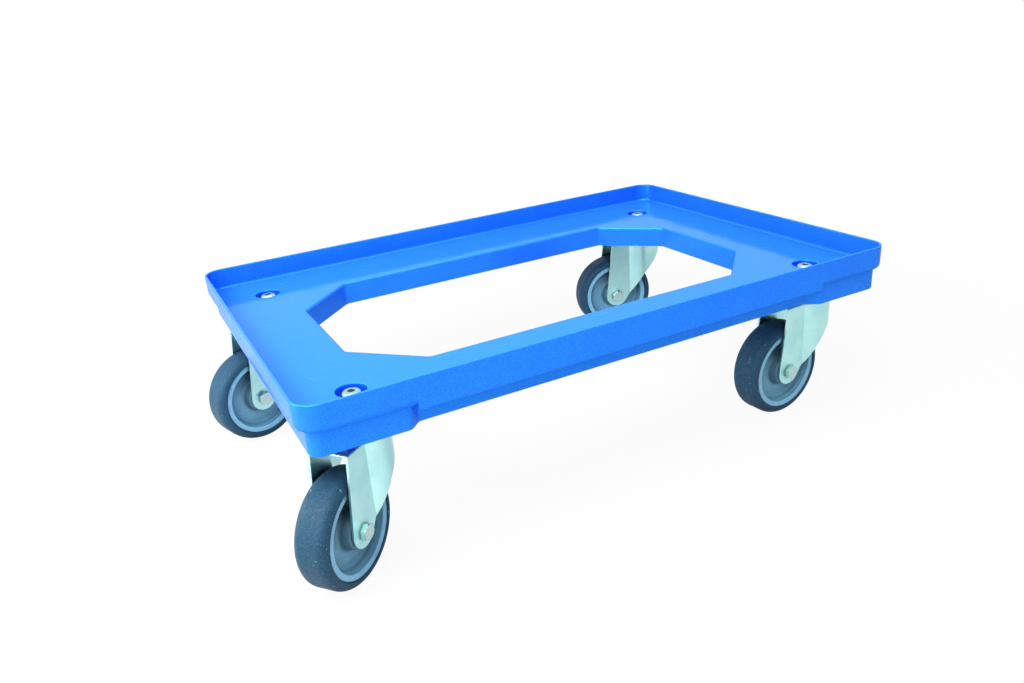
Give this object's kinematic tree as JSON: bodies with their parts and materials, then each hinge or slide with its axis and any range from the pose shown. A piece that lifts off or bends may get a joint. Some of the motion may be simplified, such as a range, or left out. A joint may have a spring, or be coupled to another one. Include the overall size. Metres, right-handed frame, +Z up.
{
  "type": "crate dolly",
  "caption": "Moulded tray on swivel casters that carries stacking crates: a raised rim holds the crate, the deck has a large eight-sided opening and the long sides have hand grips.",
  "frame": {"origin": "on the floor under the middle of the dolly's box, with the casters as they stand", "axes": "+X along the long side of the tray, +Y across it, +Z up"},
  "size_m": [0.64, 0.4174, 0.1786],
  "materials": {
    "tray_plastic": "glossy moulded blue",
    "zinc_steel": "bright zinc plate",
    "fastener_steel": "zinc-plated fasteners",
    "bearing_steel": "polished bearing steel",
    "tyre_rubber": "smooth dark grey rubber",
    "wheel_plastic": "moulded light grey",
    "guard_plastic": "moulded dark grey"
  },
  "bodies": {
    "tray": {"tray": "tray_plastic", "mounting_screws": "fastener_steel", "mounting_washers": "fastener_steel", "mounting_nuts": "fastener_steel", "front_left_swivel_plate": "zinc_steel", "front_left_swivel_cup": "zinc_steel", "front_left_king_sleeve": "fastener_steel", "front_right_swivel_plate": "zinc_steel", "front_right_swivel_cup": "zinc_steel", "front_right_king_sleeve": "fastener_steel", "rear_left_swivel_plate": "zinc_steel", "rear_left_swivel_cup": "zinc_steel", "rear_left_king_sleeve": "fastener_steel", "rear_right_swivel_plate": "zinc_steel", "rear_right_swivel_cup": "zinc_steel", "rear_right_king_sleeve": "fastener_steel"},
    "front_left_caster": {"front_left_race_balls": "bearing_steel", "front_left_fork": "zinc_steel", "front_left_axle_bolt": "fastener_steel", "front_left_axle_nut": "fastener_steel", "front_left_axle_tube": "fastener_steel"},
    "front_left_wheel": {"front_left_tyre": "tyre_rubber", "front_left_wheel_centre": "wheel_plastic", "front_left_wheel_bearings": "bearing_steel", "front_left_thread_guards": "guard_plastic"},
    "front_right_caster": {"front_right_race_balls": "bearing_steel", "front_right_fork": "zinc_steel", "front_right_axle_bolt": "fastener_steel", "front_right_axle_nut": "fastener_steel", "front_right_axle_tube": "fastener_steel"},
    "front_right_wheel": {"front_right_tyre": "tyre_rubber", "front_right_wheel_centre": "wheel_plastic", "front_right_wheel_bearings": "bearing_steel", "front_right_thread_guards": "guard_plastic"},
    "rear_left_caster": {"rear_left_race_balls": "bearing_steel", "rear_left_fork": "zinc_steel", "rear_left_axle_bolt": "fastener_steel", "rear_left_axle_nut": "fastener_steel", "rear_left_axle_tube": "fastener_steel"},
    "rear_left_wheel": {"rear_left_tyre": "tyre_rubber", "rear_left_wheel_centre": "wheel_plastic", "rear_left_wheel_bearings": "bearing_steel", "rear_left_thread_guards": "guard_plastic"},
    "rear_right_caster": {"rear_right_race_balls": "bearing_steel", "rear_right_fork": "zinc_steel", "rear_right_axle_bolt": "fastener_steel", "rear_right_axle_nut": "fastener_steel", "rear_right_axle_tube": "fastener_steel"},
    "rear_right_wheel": {"rear_right_tyre": "tyre_rubber", "rear_right_wheel_centre": "wheel_plastic", "rear_right_wheel_bearings": "bearing_steel", "rear_right_thread_guards": "guard_plastic"}
  },
  "joints": [
    {"name": "front_left_swivel", "type": "hinge", "parent": "tray", "child": "front_left_caster", "pos_m": [-0.23354, -0.14432, 0.1226], "axis": [0, 0, 1], "continuous": true},
    {"name": "front_left_wheel_spin", "type": "hinge", "parent": "front_left_caster", "child": "front_left_wheel", "pos_m": [-0.26307, -0.16823, 0.05], "axis": [0.6293, -0.7771, 0], "continuous": true},
    {"name": "front_right_swivel", "type": "hinge", "parent": "tray", "child": "front_right_caster", "pos_m": [0.26346, -0.14432, 0.1226], "axis": [0, 0, 1], "continuous": true},
    {"name": "front_right_wheel_spin", "type": "hinge", "parent": "front_right_caster", "child": "front_right_wheel", "pos_m": [0.22556, -0.14697, 0.05], "axis": [0.0698, -0.9976, 0], "continuous": true},
    {"name": "rear_left_swivel", "type": "hinge", "parent": "tray", "child": "rear_left_caster", "pos_m": [-0.23354, 0.15168, 0.1226], "axis": [0, 0, 1], "continuous": true},
    {"name": "rear_left_wheel_spin", "type": "hinge", "parent": "rear_left_caster", "child": "rear_left_wheel", "pos_m": [-0.26968, 0.13994, 0.05], "axis": [0.309, -0.9511, 0], "continuous": true},
    {"name": "rear_right_swivel", "type": "hinge", "parent": "tray", "child": "rear_right_caster", "pos_m": [0.26346, 0.15168, 0.1226], "axis": [0, 0, 1], "continuous": true},
    {"name": "rear_right_wheel_spin", "type": "hinge", "parent": "rear_right_caster", "child": "rear_right_wheel", "pos_m": [0.22676, 0.16151, 0.05], "axis": [-0.2588, -0.9659, 0], "continuous": true}
  ]
}
